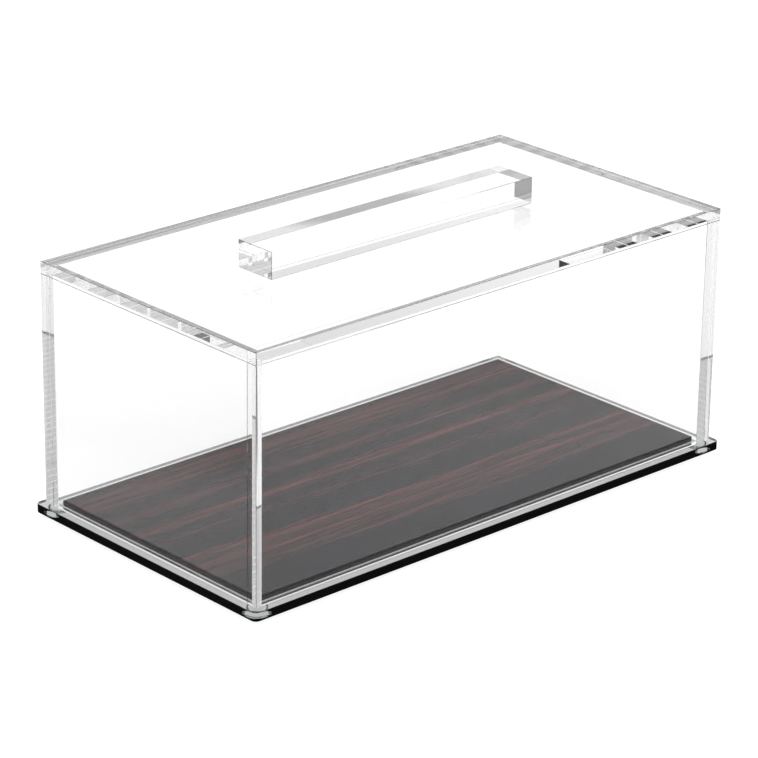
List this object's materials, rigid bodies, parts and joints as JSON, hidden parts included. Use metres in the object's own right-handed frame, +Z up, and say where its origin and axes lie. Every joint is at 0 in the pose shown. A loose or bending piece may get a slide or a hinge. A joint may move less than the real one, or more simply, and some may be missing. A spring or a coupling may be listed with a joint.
{
  "type": "acrylic display case",
  "caption": "Clear rectangular acrylic display case: lift-off five-panel cover with a bar handle on a clear footed base with a dark wood-grain floor board.",
  "frame": {"origin": "middle of the footprint at the height of the table the feet stand on", "axes": "+X along the long side, +Z up through the middle of the handle, front towards -Y"},
  "size_m": [0.328, 0.1736, 0.1535],
  "materials": {
    "cover_acrylic": "clear cast acrylic sheet, polished faces and edges",
    "handle_acrylic": "solid clear acrylic bar, polished all round",
    "base_acrylic": "clear cast acrylic sheet, polished, rounded corners",
    "wood_grain_laminate": "dark macassar ebony wood-grain print under a gloss coat",
    "clear_bumper": "clear soft polyurethane"
  },
  "bodies": {
    "base": {"base_plate": "base_acrylic", "floor_board": "wood_grain_laminate", "foot_front_left": "clear_bumper", "foot_front_right": "clear_bumper", "foot_back_left": "clear_bumper", "foot_back_right": "clear_bumper"},
    "cover": {"cover_top_panel": "cover_acrylic", "cover_front_panel": "cover_acrylic", "cover_back_panel": "cover_acrylic", "cover_left_panel": "cover_acrylic", "cover_right_panel": "cover_acrylic", "handle_bar": "handle_acrylic"}
  },
  "joints": [
    {"name": "cover_lift", "type": "slide", "parent": "base", "child": "cover", "axis": [0, 0, 1], "range_m": [0, 0.15]}
  ]
}
